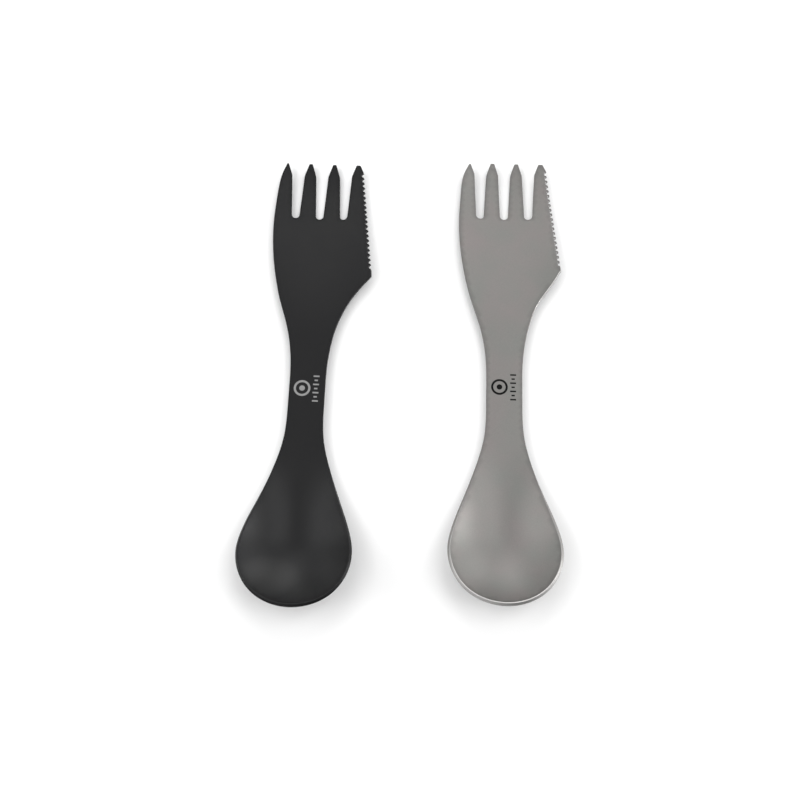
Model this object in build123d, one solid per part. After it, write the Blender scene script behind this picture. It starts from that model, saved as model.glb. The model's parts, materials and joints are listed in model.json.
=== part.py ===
from build123d import *
import math
import os

# Two picnic utensils lying side by side.  Each one is pressed from a single
# titanium sheet: a round spoon bowl at one end, a four-tine fork with a
# serrated cutting edge at the other, and a flat handle between them.
# Millimetres, +Z up, +Y from the bowls towards the fork tips.  Both utensils
# rest on the plane z = 0 on the bottom of the bowl and the belly of the fork.

# ---- driving dimensions -------------------------------------------------
sheet = 1.3                 # thickness of the titanium sheet
tip_y = 82.3                # fork tips of the pressing, measured from mid-length
bowl_end_y = -82.75         # far end of the bowl
bowl_half = 18.98           # half width of the bowl
handle_half = 6.2           # half width of the handle
sheet_half = 24             # half width of the pressed sheet before it is cut
sheet_first_y = -87         # stations that shape the sheet, a little beyond the outline
sheet_last_y = 84
sheet_step = 3
handle_lift = 2.3           # underside of the flat handle above the table

# heights of the underside along the centre line
bowl_bottom_y = -57.0       # where the bowl touches the table
bowl_radius = 31.0          # lengthwise radius of the bowl beyond that point
handle_start_y = -21.0      # the flat stretch of the handle
handle_end_y = 13.0
belly_y = 68.0              # where the fork touches the table
tine_rise = 1.1             # how far the tine tips curl up

# crosswise curl of the sheet, height = curl * x * x
bowl_curl = 0.0235
fork_curl = 0.0072
bowl_curl_from_y = -54.0
fork_curl_full_y = 50.0

# fork
slot_pitch = 8.85
slot_mid_x = -0.06
slot_shoulder_y = 77.7
slot_shoulder_half = 2.28
slot_mouth_half = 3.75      # at tip_y, and wider beyond it

# cutting edge
edge_top = (15.3, 79.1)     # where the cutting edge begins under the last tine
edge_heel = (20.03, 39.2)   # where it ends above the heel
notch_count = 20
notch_first_y = 77.95
notch_radius = 0.8
notch_out = 0.03            # how far the notch centres lie outside the crest line

# the two fork ends are cut and ground a little differently
black_cut = {
    "tines_y": 82.55,           # ends of the middle tines
    "tine_1": (-13.3, 82.0),    # outer corner of the pointed first tine
    "tine_4": (14.1, 81.95),    # outer corner of the last tine
    "root_y": 60.25,            # lowest point of the round slot roots
    "root_radius": 1.4,
    "heel": (20.25, 37.1),
    "notch_last_y": 40.65,
}
titanium_cut = {
    "tines_y": 82.3,
    "tine_1": (-13.3, 81.35),
    "tine_4": (14.1, 81.65),
    "root_y": 59.65,
    "root_radius": 1.5,
    "heel": (20.1, 38.4),
    "notch_last_y": 41.05,
}

# rounded corners of the outline
crest_radius = 0.13
shoulder_radius = 2.0
tine_end_radius = 0.4
spike_radius = 0.2
top_corner_radius = 0.25
heel_radius = 0.5

# how the two utensils lie
spacing_x = 67.8            # between the two mid-lengths
spacing_y = 0.35
black_turn = -2.39          # degrees about +Z
titanium_turn = -1.73


def ease(start, end, value):
    """0 before start, 1 after end, and a smooth step between them."""
    t = min(max((value - start) / (end - start), 0.0), 1.0)
    return t * t * (3.0 - 2.0 * t)


def spine(y):
    """Height of the underside on the centre line."""
    if y < bowl_bottom_y:
        reach = min(bowl_bottom_y - y, 27.0)
        drop = math.sqrt(bowl_radius**2 - reach**2)
        straight = (bowl_bottom_y - y - reach) * reach / drop
        return bowl_radius - drop + straight
    if y < handle_start_y:
        return handle_lift * ease(bowl_bottom_y, handle_start_y, y)
    if y < belly_y:
        return handle_lift * (1.0 - ease(handle_end_y, belly_y, y))
    return tine_rise * ((y - belly_y) / (tip_y - belly_y)) ** 2


def curl(y):
    """Crosswise curl of the sheet at this station."""
    bowl_part = bowl_curl * (1.0 - ease(bowl_curl_from_y, handle_start_y, y))
    fork_part = fork_curl * ease(handle_end_y, fork_curl_full_y, y)
    return bowl_part + fork_part


def underside():
    """The pressed underside, a little larger than the utensil."""
    across = range(-sheet_half, sheet_half + 1, 2 * sheet_step)
    rows = []
    for y in range(sheet_first_y, sheet_last_y + 1, sheet_step):
        rows.append([(x, y, spine(y) + curl(y) * x * x) for x in across])
    return Face.make_surface_from_array_of_points(rows, tol=0.001, min_deg=3, max_deg=3)


def body_outline(cut):
    """The blank without its slots and teeth."""
    heel = cut["heel"]
    bowl_right = Spline(
        (0, bowl_end_y),
        (12.5, -78.2),
        (18.0, -70.0),
        (bowl_half, -64.0),
        (17.55, -56.0),
        (13.97, -46.0),
        (9.6, -34.0),
        (6.88, -24.0),
        (handle_half, -12.0),
        tangents=[(1, 0), (0, 1)],
        tangent_scalars=(1, 1),
    )
    below_heel = (17.4, 33.95)
    to_heel = (Vector(*heel) - Vector(*below_heel)).normalized()
    right_side = Spline(
        (handle_half, -3.0),
        (7.1, 10.0),
        (8.85, 18.0),
        (12.05, 26.0),
        below_heel,
        heel,
        tangents=[(0, 1), to_heel],
        tangent_scalars=(1, 1),
    )
    left_side = Spline(
        (-handle_half, -3.0),
        (-7.1, 10.0),
        (-8.9, 18.0),
        (-11.5, 26.0),
        (-15.2, 42.0),
        (-16.5, 58.0),
        (-15.95, 70.0),
        (-14.75, 78.0),
        cut["tine_1"],
        tangents=[(0, 1), (0.34, 0.94)],
        tangent_scalars=(1, 1),
    )
    slot_3 = (slot_mid_x + slot_pitch, cut["tines_y"])
    slot_1 = (slot_mid_x - slot_pitch, cut["tines_y"])
    edges = [
        bowl_right,
        mirror(bowl_right, Plane.YZ),
        Line((handle_half, -12.0), (handle_half, -3.0)),
        right_side,
        Line(heel, edge_heel),
        Line(edge_heel, edge_top),
        Polyline(edge_top, cut["tine_4"], slot_3, slot_1, cut["tine_1"]),
        left_side,
        Line((-handle_half, -3.0), (-handle_half, -12.0)),
    ]
    return make_face(edges)


def slot(x, cut):
    """One gap between two tines: round root, flared walls, wide mouth."""
    root_radius = cut["root_radius"]
    root_y = cut["root_y"] + root_radius
    beyond = 3.0
    mouth_y = tip_y + beyond
    flare = (slot_mouth_half - slot_shoulder_half) / (tip_y - slot_shoulder_y)
    mouth_half = slot_mouth_half + beyond * flare
    wall = [
        (x - root_radius, root_y),
        (x - slot_shoulder_half, slot_shoulder_y),
        (x - mouth_half, mouth_y),
        (x + mouth_half, mouth_y),
        (x + slot_shoulder_half, slot_shoulder_y),
        (x + root_radius, root_y),
    ]
    root = ThreePointArc(wall[-1], (x, cut["root_y"]), wall[0])
    return make_face([Polyline(*wall), root])


def edge_x(y):
    """The line of the tooth crests."""
    run = (y - edge_heel[1]) / (edge_top[1] - edge_heel[1])
    return edge_heel[0] + run * (edge_top[0] - edge_heel[0])


def outline(cut):
    """The whole flat blank, with its corners rounded."""
    blank = body_outline(cut)
    for step in (-1, 0, 1):
        blank -= slot(slot_mid_x + step * slot_pitch, cut)
    pitch = (notch_first_y - cut["notch_last_y"]) / (notch_count - 1)
    tips_from_y = min(cut["tine_1"][1], cut["tine_4"][1]) - 0.05
    for index in range(notch_count):
        y = notch_first_y - index * pitch
        blank -= Pos(edge_x(y) + notch_out, y) * Circle(notch_radius)

    def on_edge(v):
        return abs(v.X - edge_x(v.Y)) < 0.05 and edge_heel[1] + 0.1 < v.Y < edge_top[1] - 0.1

    def at(point):
        return lambda v: abs(v.X - point[0]) < 0.05 and abs(v.Y - point[1]) < 0.05

    corners = [
        (on_edge, crest_radius),
        (lambda v: abs(v.Y - slot_shoulder_y) < 0.05, shoulder_radius),
        (lambda v: v.Y > tips_from_y and v.X > -10, tine_end_radius),
        (lambda v: v.Y > tips_from_y and v.X < -10, spike_radius),
        (at(edge_top), top_corner_radius),
        (at(cut["heel"]), heel_radius),
    ]
    for wanted, radius in corners:
        blank = fillet([v for v in blank.vertices() if wanted(v)], radius)
    return blank


def utensil(cut):
    """One utensil centred on its mid-length, lying along Y."""
    below = 8.0
    height = 50.0
    cutter = Pos(0, 0, -below) * extrude(outline(cut).face(), height, dir=(0, 0, 1))
    trimmed = (underside() & cutter).face()
    return thicken(trimmed, -sheet)


def laid_out():
    """Both utensils on the table, with their common box centred on the origin."""
    black = utensil(black_cut)
    titanium = utensil(titanium_cut)
    black = Pos(-spacing_x / 2, -spacing_y / 2) * Rot(0, 0, black_turn) * black
    titanium = Pos(spacing_x / 2, spacing_y / 2) * Rot(0, 0, titanium_turn) * titanium
    box = Compound([black, titanium]).bounding_box()
    centre = (box.min + box.max) * 0.5
    shift = Pos(-centre.X, -centre.Y, -box.min.Z)
    print("mid-length of the black one", -spacing_x / 2 - centre.X, -spacing_y / 2 - centre.Y)
    return {"black_spork": shift * black, "titanium_spork": shift * titanium}


os.makedirs("parts", exist_ok=True)
for name, piece in laid_out().items():
    print(name, piece.volume, piece.bounding_box())
    export_step(piece, f"parts/{name}.step")
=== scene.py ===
import json
import math

import bpy
import numpy as np
from mathutils import Matrix, Vector
from mathutils.geometry import delaunay_2d_cdt

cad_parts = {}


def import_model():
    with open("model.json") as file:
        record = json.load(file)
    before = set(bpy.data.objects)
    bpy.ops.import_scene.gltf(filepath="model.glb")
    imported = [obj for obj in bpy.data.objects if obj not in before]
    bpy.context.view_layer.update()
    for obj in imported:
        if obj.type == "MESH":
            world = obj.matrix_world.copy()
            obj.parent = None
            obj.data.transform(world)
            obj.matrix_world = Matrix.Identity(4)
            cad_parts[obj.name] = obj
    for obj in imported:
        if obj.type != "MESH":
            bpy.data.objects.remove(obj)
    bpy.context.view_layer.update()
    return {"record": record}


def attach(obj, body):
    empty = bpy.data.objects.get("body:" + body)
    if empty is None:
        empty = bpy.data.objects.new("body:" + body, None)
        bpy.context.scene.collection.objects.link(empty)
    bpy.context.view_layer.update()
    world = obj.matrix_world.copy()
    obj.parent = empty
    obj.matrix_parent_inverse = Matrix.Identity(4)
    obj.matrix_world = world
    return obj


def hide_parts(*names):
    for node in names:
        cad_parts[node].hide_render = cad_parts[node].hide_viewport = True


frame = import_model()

# Two one-piece picnic utensils lying side by side.  The shapes are worked out
# in millimetres in the utensil's own frame (origin at mid-length, +Y to the
# fork tips, +X to the cutting edge) and then placed in metres where the frame
# says each one lies.

MM = 0.001

# ---- the pressed sheet ---------------------------------------------------
SHEET = 1.3
TIP_Y = 82.3
BOWL_END_Y = -82.75
HANDLE_HALF = 6.2
HANDLE_LIFT = 2.3
BOWL_BOTTOM_Y = -57.0
BOWL_RADIUS = 31.0
HANDLE_START_Y = -21.0
HANDLE_END_Y = 13.0
BELLY_Y = 68.0
TINE_RISE = 1.1
BOWL_CURL = 0.0235
FORK_CURL = 0.0072
BOWL_CURL_FROM_Y = -54.0
FORK_CURL_FULL_Y = 50.0

# ---- fork and cutting edge -----------------------------------------------
SLOT_CENTRES = (8.79, -0.06, -8.91)
SLOT_SHOULDER_Y = 77.7
SLOT_SHOULDER_HALF = 2.28
SLOT_MOUTH_HALF = 3.75
EDGE_TOP = (15.3, 79.1)
EDGE_HEEL = (20.03, 39.2)
BELOW_HEEL = (17.4, 33.95)
NOTCH_COUNT = 20
NOTCH_FIRST_Y = 77.95
NOTCH_RADIUS = 0.8
NOTCH_OUT = 0.03

# ---- how each fork end is cut and ground ---------------------------------
CUTS = {
    "black": {
        "tines_y": 82.55,
        "tine_1": (-13.3, 82.0),
        "tine_4": (14.1, 81.95),
        "root_y": 60.25,
        "root_radius": 1.4,
        "heel": (20.25, 37.1),
        "notch_last_y": 40.65,
    },
    "titanium": {
        "tines_y": 82.3,
        "tine_1": (-13.3, 81.35),
        "tine_4": (14.1, 81.65),
        "root_y": 59.65,
        "root_radius": 1.5,
        "heel": (20.1, 38.4),
        "notch_last_y": 41.05,
    },
}

# the record's mount on the handle, in the utensil's own frame
HANDLE_MOUNT_Y = -4.0

# ---- the etched mark on the handle ---------------------------------------
RING_CENTRE = (-1.7, -5.7)
RING_OUTER = 2.9
RING_INNER = 2.15
DOT_RADIUS = 1.0
BAR_COUNT = 7
BAR_X = 3.0
BAR_FIRST_Y = -1.2
BAR_PITCH = 1.5
BAR_HALF_LENGTHS = (1.05, 0.6)      # long and short bars by turns
BAR_HALF_WIDTH = 0.3


def ease(start, end, value):
    """0 before start, 1 after end, and a smooth step between them."""
    t = np.clip((value - start) / (end - start), 0.0, 1.0)
    return t * t * (3.0 - 2.0 * t)


def spine(y):
    """Height of the underside on the centre line."""
    reach = np.clip(BOWL_BOTTOM_Y - y, 0.0, 0.95 * BOWL_RADIUS)
    bowl = BOWL_RADIUS - np.sqrt(BOWL_RADIUS**2 - reach**2)
    neck = HANDLE_LIFT * ease(BOWL_BOTTOM_Y, HANDLE_START_Y, y)
    fork = HANDLE_LIFT * (1.0 - ease(HANDLE_END_Y, BELLY_Y, y))
    tines = TINE_RISE * (np.maximum(y - BELLY_Y, 0.0) / (TIP_Y - BELLY_Y)) ** 2
    return bowl + np.where(y < HANDLE_START_Y, neck, fork) + tines


def curl(y):
    """Crosswise curl of the sheet at this station."""
    bowl_part = BOWL_CURL * (1.0 - ease(BOWL_CURL_FROM_Y, HANDLE_START_Y, y))
    return bowl_part + FORK_CURL * ease(HANDLE_END_Y, FORK_CURL_FULL_Y, y)


def underside(x, y):
    """Height of the sheet's lower surface."""
    return spine(y) + curl(y) * x * x


def slopes(x, y):
    """Slope of the underside along X and along Y."""
    e = 1e-3
    along_x = (underside(x + e, y) - underside(x - e, y)) / (2 * e)
    along_y = (underside(x, y + e) - underside(x, y - e)) / (2 * e)
    return along_x, along_y


def unit(v):
    """The same vectors, each of length 1."""
    return v / np.linalg.norm(v, axis=-1, keepdims=True)


def sheet_normal(x, y):
    """The upward direction square to the sheet."""
    along_x, along_y = slopes(x, y)
    return unit(np.stack([-along_x, -along_y, np.ones_like(along_x)], axis=-1))


# ---- the outline ---------------------------------------------------------
def spline(points, first, last, step=0.05):
    """Points every step along the smooth curve through points, with the given end directions."""
    p = np.array(points, float)
    t = np.r_[0.0, np.cumsum(np.linalg.norm(np.diff(p, axis=0), axis=1))]
    h = np.diff(t)
    n = len(p)
    a = np.zeros((n, n))
    b = np.zeros((n, 2))
    a[0, 0] = a[-1, -1] = 1.0
    b[0], b[-1] = first, last
    for i in range(1, n - 1):
        a[i, i - 1 : i + 2] = h[i], 2 * (h[i - 1] + h[i]), h[i - 1]
        b[i] = 3 * (h[i] * (p[i] - p[i - 1]) / h[i - 1] + h[i - 1] * (p[i + 1] - p[i]) / h[i])
    d = np.linalg.solve(a, b)
    out = []
    for i in range(n - 1):
        s = np.linspace(0, 1, max(int(h[i] / step), 2), endpoint=False)[:, None]
        out.append(
            (1 + 2 * s) * (1 - s) ** 2 * p[i]
            + s * (1 - s) ** 2 * h[i] * d[i]
            + s * s * (3 - 2 * s) * p[i + 1]
            + s * s * (s - 1) * h[i] * d[i + 1]
        )
    out.append(p[-1:])
    return np.concatenate(out)


def arc(centre, radius, start, end, count=24):
    """Points along part of a circle, between two angles in radians."""
    a = np.linspace(start, end, count)
    return np.stack([centre[0] + radius * np.cos(a), centre[1] + radius * np.sin(a)], axis=1)


def edge_x(y):
    """The line of the tooth crests."""
    run = (y - EDGE_HEEL[1]) / (EDGE_TOP[1] - EDGE_HEEL[1])
    return EDGE_HEEL[0] + run * (EDGE_TOP[0] - EDGE_HEEL[0])


def notches(last_y):
    """The scalloped cutting edge, from the heel up to the last tine."""
    lean = math.atan2(EDGE_TOP[1] - EDGE_HEEL[1], EDGE_TOP[0] - EDGE_HEEL[0])
    dip = math.asin(NOTCH_OUT / NOTCH_RADIUS)
    runs = []
    for y in np.linspace(last_y, NOTCH_FIRST_Y, NOTCH_COUNT):
        centre = (edge_x(y) + NOTCH_OUT, y)
        runs.append(arc(centre, NOTCH_RADIUS, lean - math.pi - dip, lean - 2 * math.pi + dip))
    return np.concatenate(runs)


def top_y(x, cut):
    """The line the tines end on: level in the middle, falling a little to both sides."""
    stops = (cut["tine_1"][0], SLOT_CENTRES[2], SLOT_CENTRES[0], cut["tine_4"][0])
    heights = (cut["tine_1"][1], cut["tines_y"], cut["tines_y"], cut["tine_4"][1])
    return float(np.interp(x, stops, heights))


def slot(x, cut):
    """One gap between two tines, walked from its right side to its left."""
    radius = cut["root_radius"]
    flare = (SLOT_MOUTH_HALF - SLOT_SHOULDER_HALF) / (TIP_Y - SLOT_SHOULDER_Y)
    mouth_half = SLOT_MOUTH_HALF + flare * (cut["tines_y"] - TIP_Y)
    right, left = x + mouth_half, x - mouth_half
    return np.concatenate(
        [
            [(right, top_y(right, cut)), (x + SLOT_SHOULDER_HALF, SLOT_SHOULDER_Y)],
            arc((x, cut["root_y"] + radius), radius, 0, -math.pi),
            [(x - SLOT_SHOULDER_HALF, SLOT_SHOULDER_Y), (left, top_y(left, cut))],
        ]
    )


def sharp_outline(prefix):
    """The blank's outline with sharp corners, anticlockwise from the bowl's end."""
    cut = CUTS[prefix]
    heel = cut["heel"]
    to_heel = unit(np.subtract(heel, BELOW_HEEL))
    bowl = spline(
        [
            (0, BOWL_END_Y),
            (12.5, -78.2),
            (18.0, -70.0),
            (18.98, -64.0),
            (17.55, -56.0),
            (13.97, -46.0),
            (9.6, -34.0),
            (6.88, -24.0),
            (HANDLE_HALF, -12.0),
        ],
        (1, 0),
        (0, 1),
    )
    right = spline(
        [(HANDLE_HALF, -3.0), (7.1, 10.0), (8.85, 18.0), (12.05, 26.0), BELOW_HEEL, heel],
        (0, 1),
        to_heel,
    )
    left = spline(
        [
            (-HANDLE_HALF, -3.0),
            (-7.1, 10.0),
            (-8.9, 18.0),
            (-11.5, 26.0),
            (-15.2, 42.0),
            (-16.5, 58.0),
            (-15.95, 70.0),
            (-14.75, 78.0),
            cut["tine_1"],
        ],
        (0, 1),
        (0.34, 0.94),
    )
    top = [slot(x, cut) for x in SLOT_CENTRES]
    return np.concatenate(
        [bowl, right, [EDGE_HEEL], notches(cut["notch_last_y"]), [EDGE_TOP, cut["tine_4"]]]
        + top
        + [left[::-1], bowl[:0:-1] * (-1, 1)]
    )


def resample(points, step):
    """The same closed outline with a point every step."""
    closed = np.concatenate([points, points[:1]])
    length = np.r_[0.0, np.cumsum(np.linalg.norm(np.diff(closed, axis=0), axis=1))]
    s = np.arange(int(length[-1] / step)) * (length[-1] / int(length[-1] / step))
    return np.stack([np.interp(s, length, closed[:, k]) for k in (0, 1)], axis=1)


def near_teeth(p):
    """1 on the cutting edge and 0 elsewhere."""
    x, y = p[:, 0], p[:, 1]
    close = 1.0 - ease(1.2, 2.0, np.abs(x - edge_x(y)))
    return close * ease(38.0, 40.0, y) * (1.0 - ease(79.2, 80.0, y))


def ring_mean(values, half):
    """Mean of a closed list over half points each side."""
    padded = np.concatenate([values[-half:], values, values[:half]])
    total = np.cumsum(np.concatenate([np.zeros_like(padded[:1]), padded]), axis=0)
    return (total[2 * half + 1 :] - total[: -2 * half - 1]) / (2 * half + 1)


def smooth_outline(prefix, step=0.05):
    """The outline with its corners rounded: tightly on the teeth, more on the rest."""
    p = resample(sharp_outline(prefix), step)
    fine = ring_mean(ring_mean(p, 2), 2)
    soft = ring_mean(ring_mean(p, 5), 5)
    teeth = near_teeth(p)[:, None]
    return fine * teeth + soft * (1.0 - teeth)


def thin_out(p, error=0.0025, longest=0.9):
    """Indices of the points to keep so that no chord leaves the outline by more than error."""
    keep = [0]
    i = 0
    n = len(p)
    while i < n - 1:
        j = i + 1
        while j + 1 < n:
            chord = p[j + 1] - p[i]
            length = np.linalg.norm(chord)
            inner = p[i + 1 : j + 1] - p[i]
            off = np.abs(inner[:, 0] * chord[1] - inner[:, 1] * chord[0]).max() / max(length, 1e-9)
            if off > error or length > longest:
                break
            j += 1
        keep.append(j)
        i = j
    return np.array(keep[:-1] if np.linalg.norm(p[keep[-1]] - p[0]) < 0.03 else keep)


# ---- the solid sheet as a mesh -------------------------------------------
ROUND = 0.26                # rounding of the sheet's edges
ROUND_TEETH = 0.1
ROUND_TINES = 0.2
ROUND_STEPS = 5
SPIKE = (-13.0, 81.7)       # the sharp end of the first tine
GRID = 1.5                  # spacing of the points on the faces
GRID_HALF_X = 21.0


def edge_rounding(p):
    """Radius of the rounded edge at each point of the outline."""
    tines = ease(57.0, 60.0, p[:, 1])
    radius = ROUND + (ROUND_TINES - ROUND) * tines
    radius = radius + (ROUND_TEETH - radius) * near_teeth(p)
    spike = 1.0 - ease(0.0, 2.5, np.linalg.norm(p - SPIKE, axis=1))
    radius = radius + (ROUND_TEETH - radius) * spike
    return ring_mean(radius, 12)


def painted_edge_highlight(p, outward):
    """Strength of the painted highlight on the cut edge, set by which way the edge faces: most on the
    bowl's rim and under the heel, weaker at the slot roots.
    """
    x, y = p[:, 0], p[:, 1]
    bowl = (1.0 - ease(-62.0, -34.0, y)) * (0.3 + 0.6 * ease(-0.4, 0.9, -outward[:, 1]))
    heel = ease(15.0, 22.0, y) * ease(0.2, 0.5, -outward[:, 1]) * ease(8.0, 10.0, x)
    roots = 0.5 * ease(0.3, 0.8, outward[:, 1]) * ease(58.0, 59.0, y) * (1.0 - ease(62.0, 64.0, y))
    return np.maximum(np.maximum(bowl, 0.8 * heel), roots)


def inner_points(loop):
    """A staggered grid of points well inside the closed loop."""
    rows = []
    lift = GRID * math.sqrt(3) / 2
    for k, y in enumerate(np.arange(BOWL_END_Y, TIP_Y, lift)):
        x = np.arange(-GRID_HALF_X, GRID_HALF_X, GRID) + (GRID / 2 if k % 2 else 0.0)
        rows.append(np.stack([x, np.full_like(x, y)], axis=1))
    grid = np.concatenate(rows)
    a, b = loop, np.roll(loop, -1, axis=0)
    inside = np.zeros(len(grid), bool)
    for (x0, y0), (x1, y1) in zip(a, b):
        if y0 != y1:
            crosses = (y0 > grid[:, 1]) != (y1 > grid[:, 1])
            inside ^= crosses & (grid[:, 0] < x0 + (grid[:, 1] - y0) * (x1 - x0) / (y1 - y0))
    grid = grid[inside]
    gap = np.array([np.min(np.hypot(*(loop - g).T)) for g in grid])
    return grid[gap > 0.45 * GRID]


def lift_off(flat, height):
    """The point of the sheet at each flat place, at that height above the underside."""
    x, y = flat[:, 0], flat[:, 1]
    base = np.stack([x, y, underside(x, y)], axis=1)
    return base + np.asarray(height).reshape(-1, 1) * sheet_normal(x, y)


def utensil_mesh(prefix, name, place):
    """The whole utensil as one closed mesh with exact normals."""
    fine = smooth_outline(prefix)
    along = unit(np.roll(fine, -4, axis=0) - np.roll(fine, 4, axis=0))
    radius = edge_rounding(fine)
    kept = thin_out(fine)
    p, t, r = fine[kept], along[kept], radius[kept]
    outward = np.stack([t[:, 1], -t[:, 0]], axis=1)
    n = len(p)
    along_x, along_y = slopes(p[:, 0], p[:, 1])
    rise = t[:, 0] * along_x + t[:, 1] * along_y
    t3 = unit(np.stack([t[:, 0], t[:, 1], rise], axis=1))
    up = sheet_normal(p[:, 0], p[:, 1])
    out3 = unit(np.cross(t3, up))

    # painted highlight on the cut edge, set by which way the edge faces
    edge_highlight = painted_edge_highlight(p, outward)
    places, normals, edge, painted_highlight = [], [], [], []
    turns = [(-a, False) for a in np.linspace(math.pi / 2, 0, ROUND_STEPS + 1)]
    turns += [(a, True) for a in np.linspace(0, math.pi / 2, ROUND_STEPS + 1)]
    for a, upper in turns:
        inset = r * (1 - math.cos(a))
        height = (SHEET - r if upper else r) + r * math.sin(a)
        places.append(lift_off(p - outward * inset[:, None], height))
        normals.append(out3 * math.cos(a) + up * math.sin(a))
        edge.append(np.full(n, 1.0 if a else 0.9))
        # painted highlight: a lighter line where the upper rounding meets the top face, and a weaker
        # band across the cut face
        corner = math.sin(2 * a) if upper and a > 0 else 0.0
        face = 0.0 if a > 1.0 and upper or a < -0.6 else 0.55
        painted_highlight.append(edge_highlight * max(corner, face))
    rings = len(turns)
    loop = p - outward * r[:, None]
    grid = inner_points(loop)
    flat = np.concatenate([loop, grid])
    coords = [Vector(c) for c in flat]
    _, _, faces, origins, _, _ = delaunay_2d_cdt(coords, [], [list(range(n))], 1, 1e-7)
    index = [origin[0] for origin in origins]
    first_low = rings * n
    first_top = first_low + len(grid)
    for height, sign in ((0.0, -1.0), (SHEET, 1.0)):
        places.append(lift_off(grid, np.full(len(grid), height)))
        normals.append(sign * sheet_normal(grid[:, 0], grid[:, 1]))
        edge.append(np.zeros(len(grid)))
        painted_highlight.append(np.zeros(len(grid)))

    polygons = []
    for k in range(rings - 1):
        for i in range(n):
            j = (i + 1) % n
            polygons.append((k * n + i, k * n + j, (k + 1) * n + j, (k + 1) * n + i))
    top_ring = (rings - 1) * n
    for face in faces:
        flat_ids = [index[v] for v in face]
        a, b, c = (flat[v] for v in flat_ids[:3])
        if Vector(b - a).cross(Vector(c - a)) < 0:
            flat_ids.reverse()
        polygons.append(tuple(top_ring + v if v < n else first_top + v - n for v in flat_ids))
        polygons.append(tuple(v if v < n else first_low + v - n for v in reversed(flat_ids)))

    local = np.concatenate(places)
    facing = unit(np.concatenate(normals))
    turn = np.array(place.to_3x3())
    mesh = bpy.data.meshes.new(name)
    world = local @ turn.T * MM + np.array(place.translation)
    mesh.from_pydata([tuple(v) for v in world], [], polygons)
    for polygon in mesh.polygons:
        polygon.use_smooth = True
    blank = mesh.attributes.new("blank", "FLOAT_VECTOR", "POINT")
    blank.data.foreach_set("vector", local.astype(np.float32).ravel())
    worn = mesh.attributes.new("edge", "FLOAT", "POINT")
    worn.data.foreach_set("value", np.concatenate(edge).astype(np.float32))
    # the painted highlight is handed to the material as a point attribute
    highlight_layer = mesh.attributes.new("painted_highlight", "FLOAT", "POINT")
    highlight_layer.data.foreach_set("value", np.concatenate(painted_highlight).astype(np.float32))
    mesh.normals_split_custom_set_from_vertices([tuple(v) for v in facing @ turn.T])
    mesh.update()
    return mesh


def placement(prefix):
    """Where one utensil lies: its mid-length and the turn of its axis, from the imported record."""
    record = frame["record"]
    mount = next(m for m in record["mounts"] if m["name"] == prefix + "_handle")
    opening = next(o for o in record["physics"]["openings"] if o["name"] == prefix + "_bowl")
    handle = Vector(mount["pos_m"][:2])
    low, high = (Vector(c[:2]) for c in opening["box_m"])
    axis = (handle - (low + high) / 2).normalized()
    middle = handle - axis * HANDLE_MOUNT_Y * MM
    turn = math.atan2(-axis.x, axis.y)
    return Matrix.Translation((middle.x, middle.y, 0)) @ Matrix.Rotation(turn, 4, "Z")


# ---- materials -----------------------------------------------------------
class Nodes:
    """Short calls for adding shader nodes to one material."""

    def __init__(self, name):
        self.material = bpy.data.materials.new(name)
        self.material.use_nodes = True
        self.tree = self.material.node_tree
        self.shader = self.tree.nodes["Principled BSDF"]

    def add(self, kind, **values):
        node = self.tree.nodes.new(kind)
        for key, value in values.items():
            setattr(node, key, value)
        return node

    def link(self, source, target):
        self.tree.links.new(source, target)

    def math(self, operation, a, b=0.0, c=0.0, clamp=False):
        node = self.add("ShaderNodeMath", operation=operation, use_clamp=clamp)
        for socket, value in zip(node.inputs, (a, b, c)):
            if isinstance(value, (int, float)):
                socket.default_value = value
            else:
                self.link(value, socket)
        return node.outputs[0]

    def attribute(self, name, output):
        return self.add("ShaderNodeAttribute", attribute_name=name).outputs[output]

    def noise(self, where, scale, detail=2.0, roughness=0.5):
        node = self.add("ShaderNodeTexNoise")
        node.inputs["Scale"].default_value = scale
        node.inputs["Detail"].default_value = detail
        node.inputs["Roughness"].default_value = roughness
        self.link(where, node.inputs["Vector"])
        return node.outputs["Fac"]

    def ramp(self, value, *stops):
        node = self.add("ShaderNodeValToRGB")
        elements = node.color_ramp.elements
        while len(elements) < len(stops):
            elements.new(1.0)
        for element, (position, colour) in zip(elements, stops):
            element.position = position
            element.color = (*colour, 1.0) if len(colour) == 3 else colour
        self.link(value, node.inputs["Fac"])
        return node.outputs["Color"]

    def mix(self, factor, a, b):
        node = self.add("ShaderNodeMix", data_type="RGBA")
        for socket, value in ((node.inputs[0], factor), (node.inputs[6], a), (node.inputs[7], b)):
            if isinstance(value, (int, float)):
                socket.default_value = value
            elif isinstance(value, tuple):
                socket.default_value = (*value, 1.0)
            else:
                self.link(value, socket)
        return node.outputs[2]

    def shifted(self, where, offset):
        node = self.add("ShaderNodeVectorMath", operation="ADD")
        self.link(where, node.inputs[0])
        node.inputs[1].default_value = offset
        return node.outputs[0]


def blank_xyz(m):
    """The three coordinates in the utensil's own frame, in millimetres."""
    split = m.add("ShaderNodeSeparateXYZ")
    m.link(m.attribute("blank", "Vector"), split.inputs[0])
    return split.outputs


def teeth_band(m, inner, outer):
    """1 in a band along the cutting edge, fading in from inner to outer millimetres off the crests."""
    x, y, _ = blank_xyz(m)
    lean = (EDGE_TOP[0] - EDGE_HEEL[0]) / (EDGE_TOP[1] - EDGE_HEEL[1])
    crest = m.math("MULTIPLY_ADD", y, lean, EDGE_HEEL[0] - lean * EDGE_HEEL[1])
    depth = m.math("SUBTRACT", crest, x)
    fade = m.math("MULTIPLY", m.math("SUBTRACT", inner, depth), 1.0 / (inner - outer), clamp=True)
    above_heel = m.math("SUBTRACT", y, EDGE_HEEL[1] + 0.5, clamp=True)
    below_top = m.math("SUBTRACT", EDGE_TOP[1] + 0.5, y, clamp=True)
    return m.math("MULTIPLY", fade, m.math("MULTIPLY", above_heel, below_top))


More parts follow.
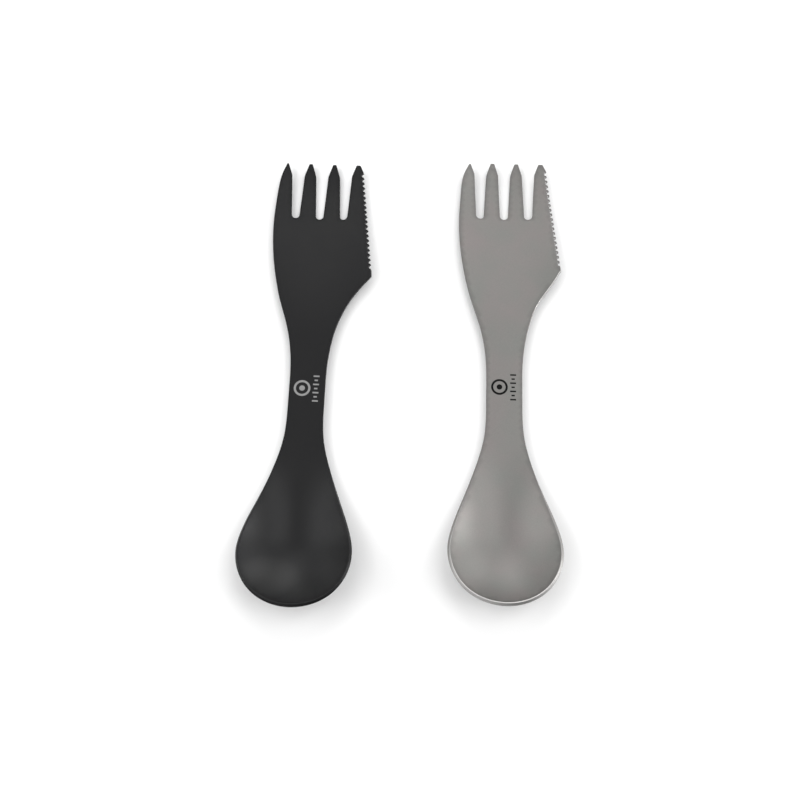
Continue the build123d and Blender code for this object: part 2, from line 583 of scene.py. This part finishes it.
def mark_mask(m):
    """1 inside the etched mark on top of the handle: a ring round a dot, and a row of bars."""
    x, y, z = blank_xyz(m)
    sharpness = 18.0

    def disc(radius):
        dx = m.math("SUBTRACT", x, RING_CENTRE[0])
        dy = m.math("SUBTRACT", y, RING_CENTRE[1])
        squared = m.math("ADD", m.math("MULTIPLY", dx, dx), m.math("MULTIPLY", dy, dy))
        away = m.math("SQRT", squared)
        return m.math("MULTIPLY", m.math("SUBTRACT", radius, away), sharpness, clamp=True)

    def bar(bar_y, half_x):
        off_x = m.math("ABSOLUTE", m.math("SUBTRACT", x, BAR_X))
        off_y = m.math("ABSOLUTE", m.math("SUBTRACT", y, bar_y))
        in_x = m.math("MULTIPLY", m.math("SUBTRACT", half_x, off_x), sharpness, clamp=True)
        in_y = m.math("MULTIPLY", m.math("SUBTRACT", BAR_HALF_WIDTH, off_y), sharpness, clamp=True)
        return m.math("MULTIPLY", in_x, in_y)

    mask = m.math("SUBTRACT", disc(RING_OUTER), disc(RING_INNER), clamp=True)
    mask = m.math("MAXIMUM", mask, disc(DOT_RADIUS))
    for k in range(BAR_COUNT):
        half_length = BAR_HALF_LENGTHS[k % 2]
        mask = m.math("MAXIMUM", mask, bar(BAR_FIRST_Y - BAR_PITCH * k, half_length))
    upper = m.math("GREATER_THAN", z, HANDLE_LIFT + SHEET / 2)
    return m.math("MULTIPLY", mask, upper)


def titanium():
    """Bead-blasted bare titanium with a painted highlight on the rim and heel edges, painted shade
    along the cut edges, and a dark etched mark.
    """
    m = Nodes("blasted_titanium")
    where = m.attribute("blank", "Vector")
    broad = m.noise(where, 0.09, 2.0)
    body = m.ramp(
        broad,
        (0.3, (0.226, 0.21, 0.205)),
        (0.5, (0.217, 0.21, 0.202)),
        (0.7, (0.209, 0.21, 0.2)),
    )
    fine = m.noise(where, 2.6, 3.0, 0.6)
    grain = m.ramp(fine, (0.3, (0.94, 0.94, 0.94)), (0.7, (1.06, 1.06, 1.06)))
    speckled = m.add("ShaderNodeMix", data_type="RGBA", blend_type="MULTIPLY")
    speckled.inputs[0].default_value = 1.0
    m.link(body, speckled.inputs[6])
    m.link(grain, speckled.inputs[7])
    # painted shade: the rounded cut edges darkened towards a deep grey
    edge = m.attribute("edge", "Fac")
    cut = m.mix(m.math("MULTIPLY", edge, 0.45), speckled.outputs[2], (0.12, 0.118, 0.115))
    # painted highlight: the rim, heel and slot-root edges turned lighter and a little glossier
    painted_highlight = m.attribute("painted_highlight", "Fac")
    rim = m.mix(painted_highlight, cut, (0.62, 0.61, 0.60))
    ground = m.mix(m.math("MULTIPLY", teeth_band(m, 2.0, 1.2), 0.12), rim, (0.4, 0.39, 0.385))
    coloured = m.mix(m.math("MULTIPLY", teeth_band(m, 0.9, 0.4), 0.75), ground, (0.075, 0.074, 0.073))
    etched = m.mix(mark_mask(m), coloured, (0.01, 0.01, 0.01))
    m.link(etched, m.shader.inputs["Base Color"])
    m.shader.inputs["Metallic"].default_value = 1.0
    rough = m.math("MULTIPLY_ADD", fine, 0.12, 0.48)
    m.link(m.math("MULTIPLY_ADD", painted_highlight, -0.12, rough), m.shader.inputs["Roughness"])
    bump = m.add("ShaderNodeBump")
    bump.inputs["Strength"].default_value = 0.25
    bump.inputs["Distance"].default_value = 0.00003
    m.link(m.noise(where, 9.0, 2.0, 0.7), bump.inputs["Height"])
    m.link(bump.outputs[0], m.shader.inputs["Normal"])
    return m.material


def painted_reflection_patch(m):
    """1 in a soft patch on the left of the bowl's end: a painted reflection, laid into the coating as
    a paler area.
    """
    x, y, _ = blank_xyz(m)
    across = m.math("MULTIPLY_ADD", x, 0.1, 0.75)
    along = m.math("MULTIPLY_ADD", y, 0.13, 9.3)
    squared = m.math("ADD", m.math("MULTIPLY", across, across), m.math("MULTIPLY", along, along))
    return m.math("SUBTRACT", 1.0, squared, clamp=True)


def black_coating():
    """Satin black coating, a little worn on the edges, with painted shade along the cut edges, a
    painted reflection on the bowl and a pale etched mark.
    """
    m = Nodes("black_coating")
    where = m.shifted(m.attribute("blank", "Vector"), (61.0, 23.0, 7.0))
    broad = m.noise(where, 0.06, 3.0)
    patchy = m.ramp(broad, (0.3, (0.0105, 0.0106, 0.0115)), (0.7, (0.0142, 0.0142, 0.0143)))
    from_middle = m.math("ABSOLUTE", blank_xyz(m)[1])
    towards_ends = m.math("MULTIPLY_ADD", from_middle, 0.02, -0.4, clamp=True)
    body = m.mix(towards_ends, (0.0088, 0.0088, 0.0096), patchy)
    # painted reflection: a paler patch on the left of the bowl's end
    body = m.mix(painted_reflection_patch(m), body, (0.0225, 0.0225, 0.0225))
    edge = m.attribute("edge", "Fac")
    # painted shade: the rounded cut edges darkened further
    dark = m.mix(m.math("MULTIPLY", edge, 0.8), body, (0.006, 0.006, 0.0065))
    scuffs = m.ramp(m.noise(where, 1.3, 3.0, 0.7), (0.58, (0, 0, 0)), (0.68, (1, 1, 1)))
    scuffed = m.math("MULTIPLY", m.math("MULTIPLY", scuffs, edge), 0.35)
    rim = m.mix(scuffed, dark, (0.035, 0.035, 0.036))
    etched = m.mix(mark_mask(m), rim, (0.27, 0.27, 0.27))
    m.link(etched, m.shader.inputs["Base Color"])
    m.shader.inputs["Metallic"].default_value = 0.6
    fine = m.noise(where, 3.0, 3.0, 0.6)
    m.link(m.math("MULTIPLY_ADD", fine, 0.12, 0.38), m.shader.inputs["Roughness"])
    bump = m.add("ShaderNodeBump")
    bump.inputs["Strength"].default_value = 0.2
    bump.inputs["Distance"].default_value = 0.00003
    m.link(m.noise(where, 9.0, 2.0, 0.7), bump.inputs["Height"])
    m.link(bump.outputs[0], m.shader.inputs["Normal"])
    return m.material


# ---- pieces --------------------------------------------------------------
def add_utensil(prefix, material):
    """One utensil as a piece that replaces its plain node and rides on its body."""
    node = prefix + "_spork"
    mesh = utensil_mesh(prefix, prefix + "_utensil", placement(prefix))
    mesh.materials.append(material)
    piece = bpy.data.objects.new(prefix + "_utensil", mesh)
    bpy.context.scene.collection.objects.link(piece)
    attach(piece, node)
    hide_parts(node)
    return piece


add_utensil("black", black_coating())
add_utensil("titanium", titanium())


# ---- floor, light and camera ---------------------------------------------
def floor():
    """A large square of matt white paper."""
    mesh = bpy.data.meshes.new("floor")
    half = 3.0
    corners = [(-half, -half, 0), (half, -half, 0), (half, half, 0), (-half, half, 0)]
    mesh.from_pydata(corners, [], [(0, 1, 2, 3)])
    sheet = bpy.data.objects.new("floor", mesh)
    m = Nodes("floor_paper")
    m.shader.inputs["Base Color"].default_value = (0.9, 0.9, 0.9, 1)
    m.shader.inputs["Roughness"].default_value = 0.9
    m.shader.inputs["Specular IOR Level"].default_value = 0.1
    mesh.materials.append(m.material)
    bpy.context.scene.collection.objects.link(sheet)


# soft boxes round the table: azimuth and elevation in degrees, power in watts
SOFTBOXES = (
    (0, 15, 10.5),
    (45, 15, 4.5),
    (90, 15, 2.8),
    (135, 15, 1.8),
    (180, 15, 2.8),
    (45, 40, 1.0),
    (90, 40, 4.6),
    (135, 40, 1.9),
    (180, 40, 4.8),
    (225, 40, 3.7),
    (270, 40, 1.0),
    (0, 65, 6.4),
    (180, 65, 2.3),
)
SOFTBOX_AWAY = 1.3


def softbox(azimuth, elevation, power):
    """A large square light aimed at the middle of the table."""
    a, e = math.radians(azimuth), math.radians(elevation)
    away = Vector((math.cos(e) * math.cos(a), math.cos(e) * math.sin(a), math.sin(e)))
    data = bpy.data.lights.new("softbox", "AREA")
    data.shape = "SQUARE"
    data.size = 0.6 if elevation < 30 else 0.8
    data.energy = power
    lamp = bpy.data.objects.new("softbox", data)
    lamp.location = away * SOFTBOX_AWAY
    lamp.rotation_euler = (-away).to_track_quat("-Z", "Y").to_euler()
    bpy.context.scene.collection.objects.link(lamp)


def world(strength):
    """A weak even white light from all round."""
    surround = bpy.data.worlds.new("studio")
    surround.use_nodes = True
    background = surround.node_tree.nodes["Background"]
    background.inputs["Color"].default_value = (1, 1, 1, 1)
    background.inputs["Strength"].default_value = strength
    bpy.context.scene.world = surround


def camera():
    """The camera, looking down over the bowls from almost straight above."""
    data = bpy.data.cameras.new("camera")
    data.sensor_width = 36.0
    data.lens = 54.0
    data.clip_start = 0.01
    eye = bpy.data.objects.new("camera", data)
    eye.location = (-0.0014, -0.14438, 0.39218)
    eye.rotation_euler = (math.radians(19.07), math.radians(0.09), math.radians(-0.02))
    bpy.context.scene.collection.objects.link(eye)
    bpy.context.scene.camera = eye


floor()
world(0.06)
for azimuth, elevation, power in SOFTBOXES:
    softbox(azimuth, elevation, power)
camera()
scene = bpy.context.scene
scene.view_settings.view_transform = "Standard"
